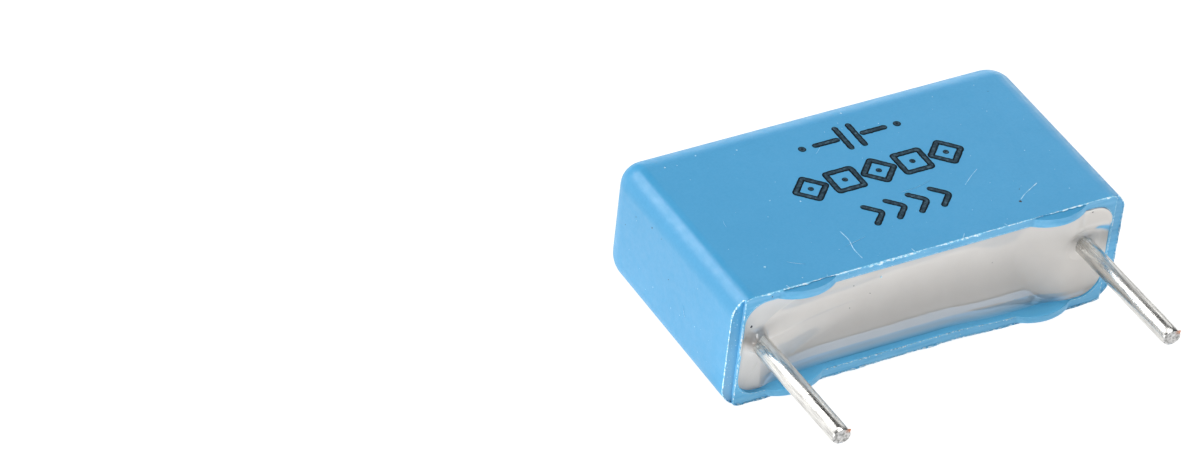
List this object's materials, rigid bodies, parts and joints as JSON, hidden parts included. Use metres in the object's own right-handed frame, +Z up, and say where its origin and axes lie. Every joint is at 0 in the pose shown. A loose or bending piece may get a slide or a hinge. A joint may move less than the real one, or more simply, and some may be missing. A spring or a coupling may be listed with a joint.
{
  "type": "film capacitor",
  "caption": "Box film capacitor with straight radial leads, a resin-sealed mouth and stand-off feet, lying on its large side.",
  "frame": {"origin": "on the surface the part lies on, under the middle of the box that holds case and leads", "axes": "+X along the case from the left lead to the right lead, +Y from the leads towards the closed end, +Z up through the thickness"},
  "size_m": [0.018, 0.016, 0.0054],
  "materials": {
    "case_plastic": "satin moulded blue plastic",
    "potting_resin": "glossy cast resin, warm off-white",
    "metallised_film": "silvery wound film",
    "sprayed_metal": "rough sprayed metal, grey",
    "tinned_wire": "tinned copper wire, bright, drawn along its length"
  },
  "bodies": {
    "root": {"case": "case_plastic", "potting_resin": "potting_resin", "film_winding": "metallised_film", "end_spray_left": "sprayed_metal", "end_spray_right": "sprayed_metal", "lead_left": "tinned_wire", "lead_right": "tinned_wire"}
  },
  "joints": []
}
